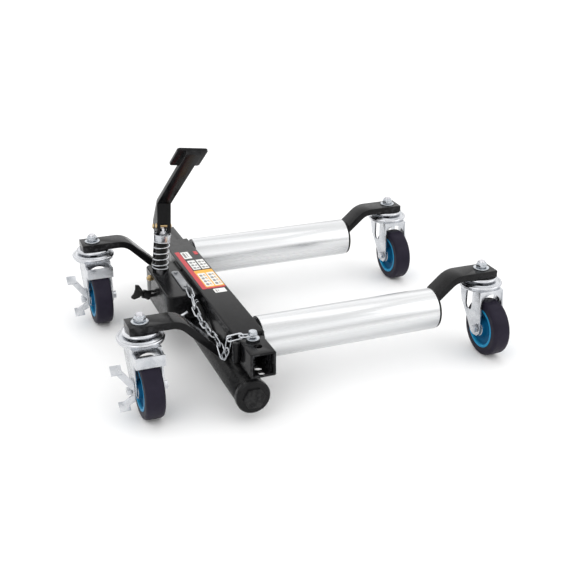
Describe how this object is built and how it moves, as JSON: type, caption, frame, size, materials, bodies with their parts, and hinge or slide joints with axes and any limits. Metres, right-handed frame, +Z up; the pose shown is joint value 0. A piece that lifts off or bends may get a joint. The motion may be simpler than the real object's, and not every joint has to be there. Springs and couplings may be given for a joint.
{
  "type": "wheel dolly",
  "caption": "Low wheel dolly: two free rollers on a sliding square-tube frame squeeze and lift a tyre, worked by a foot pump, on swivel casters.",
  "frame": {"origin": "the middle of the underside of the whole dolly, on the floor", "axes": "+Z up, +X along the rollers away from the main tube, +Y along the main tube from its capped near end to the sliding far end"},
  "size_m": [0.7134, 0.61, 0.3786],
  "materials": {
    "black_plastic": "matte",
    "brass": "satin",
    "cylinder_paint": "satin",
    "frame_paint": "gloss",
    "roller_aluminium": "satin",
    "rubber_black": "matte",
    "steel": "polished",
    "tread": "satin",
    "wheel_blue": "gloss",
    "zinc": "satin"
  },
  "bodies": {
    "near_frame": {"main_tube": "frame_paint", "socket_tube": "frame_paint", "cylinder_barrel": "cylinder_paint", "cylinder_cap": "cylinder_paint", "cylinder_gland": "cylinder_paint", "arm_near_left": "frame_paint", "arm_near_right": "frame_paint", "roller_plate_near": "frame_paint", "roller_axle_near": "frame_paint", "caster_studs_near": "zinc", "caster_nuts_near": "zinc", "pump_housing": "frame_paint", "filler_screw": "brass", "fulcrum_post": "frame_paint", "chain_anchor": "zinc", "lock_chain": "zinc", "pump_hose": "rubber_black", "hose_port": "frame_paint", "relief_stub": "zinc", "dust_boot": "rubber_black", "return_spring": "zinc"},
    "far_frame": {"slide_tube": "frame_paint", "slide_end_plate": "zinc", "far_yoke": "frame_paint", "arm_far_left": "frame_paint", "arm_far_right": "frame_paint", "roller_axle_far": "frame_paint", "caster_studs_far": "zinc", "caster_nuts_far": "zinc", "piston": "steel", "piston_rod": "steel"},
    "near_roller": {"roller_near": "roller_aluminium", "roller_bearings_near": "steel"},
    "far_roller": {"roller_far": "roller_aluminium", "roller_bearings_far": "steel"},
    "pedal": {"pedal_lever": "frame_paint", "pedal_pad": "frame_paint", "pedal_pins": "brass"},
    "plunger": {"plunger": "steel", "spring_cup": "zinc"},
    "release_valve": {"release_knob": "black_plastic"},
    "hitch_pin": {"lock_pin": "zinc"},
    "swivel_near_left": {"caster_fork_near_left": "zinc"},
    "wheel_near_left": {"caster_core_near_left": "wheel_blue", "caster_tyre_near_left": "tread", "caster_bearing_near_left": "zinc"},
    "swivel_near_right": {"caster_fork_near_right": "zinc"},
    "wheel_near_right": {"caster_core_near_right": "wheel_blue", "caster_tyre_near_right": "tread", "caster_bearing_near_right": "zinc"},
    "swivel_far_left": {"caster_fork_far_left": "zinc"},
    "wheel_far_left": {"caster_core_far_left": "wheel_blue", "caster_tyre_far_left": "tread", "caster_bearing_far_left": "zinc"},
    "swivel_far_right": {"caster_fork_far_right": "zinc"},
    "wheel_far_right": {"caster_core_far_right": "wheel_blue", "caster_tyre_far_right": "tread", "caster_bearing_far_right": "zinc"},
    "brake_near_left": {"caster_brake_near_left": "zinc"},
    "brake_far_left": {"caster_brake_far_left": "zinc"}
  },
  "joints": [
    {"name": "frame_slide", "type": "slide", "parent": "near_frame", "child": "far_frame", "axis": [0, 1, 0], "range_m": [0, 0.18]},
    {"name": "roller_spin_near", "type": "hinge", "parent": "near_frame", "child": "near_roller", "pos_m": [0.0611, -0.188, 0.0873], "axis": [1, 0, 0], "continuous": true},
    {"name": "roller_spin_far", "type": "hinge", "parent": "far_frame", "child": "far_roller", "pos_m": [0.0611, 0.186, 0.0873], "axis": [1, 0, 0], "continuous": true},
    {"name": "swivel_near_left", "type": "hinge", "parent": "near_frame", "child": "swivel_near_left", "pos_m": [-0.2967, -0.1846, 0.122], "axis": [0, 0, 1], "continuous": true},
    {"name": "wheel_spin_near_left", "type": "hinge", "parent": "swivel_near_left", "child": "wheel_near_left", "pos_m": [-0.2967, -0.2214, 0.05], "axis": [1, 0, 0], "continuous": true},
    {"name": "swivel_near_right", "type": "hinge", "parent": "near_frame", "child": "swivel_near_right", "pos_m": [0.3189, -0.1846, 0.122], "axis": [0, 0, 1], "continuous": true},
    {"name": "wheel_spin_near_right", "type": "hinge", "parent": "swivel_near_right", "child": "wheel_near_right", "pos_m": [0.3189, -0.2214, 0.05], "axis": [1, 0, 0], "continuous": true},
    {"name": "swivel_far_left", "type": "hinge", "parent": "far_frame", "child": "swivel_far_left", "pos_m": [-0.2967, 0.1826, 0.122], "axis": [0, 0, 1], "continuous": true},
    {"name": "wheel_spin_far_left", "type": "hinge", "parent": "swivel_far_left", "child": "wheel_far_left", "pos_m": [-0.2967, 0.1458, 0.05], "axis": [1, 0, 0], "continuous": true},
    {"name": "swivel_far_right", "type": "hinge", "parent": "far_frame", "child": "swivel_far_right", "pos_m": [0.3189, 0.1826, 0.122], "axis": [0, 0, 1], "continuous": true},
    {"name": "wheel_spin_far_right", "type": "hinge", "parent": "swivel_far_right", "child": "wheel_far_right", "pos_m": [0.3189, 0.1458, 0.05], "axis": [1, 0, 0], "continuous": true},
    {"name": "brake_lever_near_left", "type": "hinge", "parent": "swivel_near_left", "child": "brake_near_left", "pos_m": [-0.322, -0.2214, 0.05], "axis": [1, 0, 0], "range_deg": [0, 20]},
    {"name": "brake_lever_far_left", "type": "hinge", "parent": "swivel_far_left", "child": "brake_far_left", "pos_m": [-0.322, 0.1458, 0.05], "axis": [1, 0, 0], "range_deg": [0, 20]},
    {"name": "pedal_pivot", "type": "hinge", "parent": "near_frame", "child": "pedal", "pos_m": [-0.18445, 0.1058, 0.19036], "axis": [0.9925, 0, -0.1219], "range_deg": [0, 34], "stiffness_Nm_per_rad": 8, "springref_deg": -20.05},
    {"name": "plunger_stroke", "type": "slide", "parent": "near_frame", "child": "plunger", "axis": [-0.1217, -0.0576, -0.9909], "range_m": [0, 0.01244], "deforming": ["return_spring", "dust_boot"]},
    {"name": "release_turn", "type": "hinge", "parent": "near_frame", "child": "release_valve", "pos_m": [-0.2149, 0.077, 0.068], "axis": [-0.9272, 0, 0.3746], "range_deg": [-90, 90]},
    {"name": "lock_pin_lift", "type": "slide", "parent": "near_frame", "child": "hitch_pin", "axis": [0, 0, 1], "range_m": [0, 0.055], "deforming": ["lock_chain"]}
  ],
  "couplings": [
    {"joint": "plunger_stroke", "follows": "pedal_pivot", "m_per_rad": 0.020293}
  ]
}
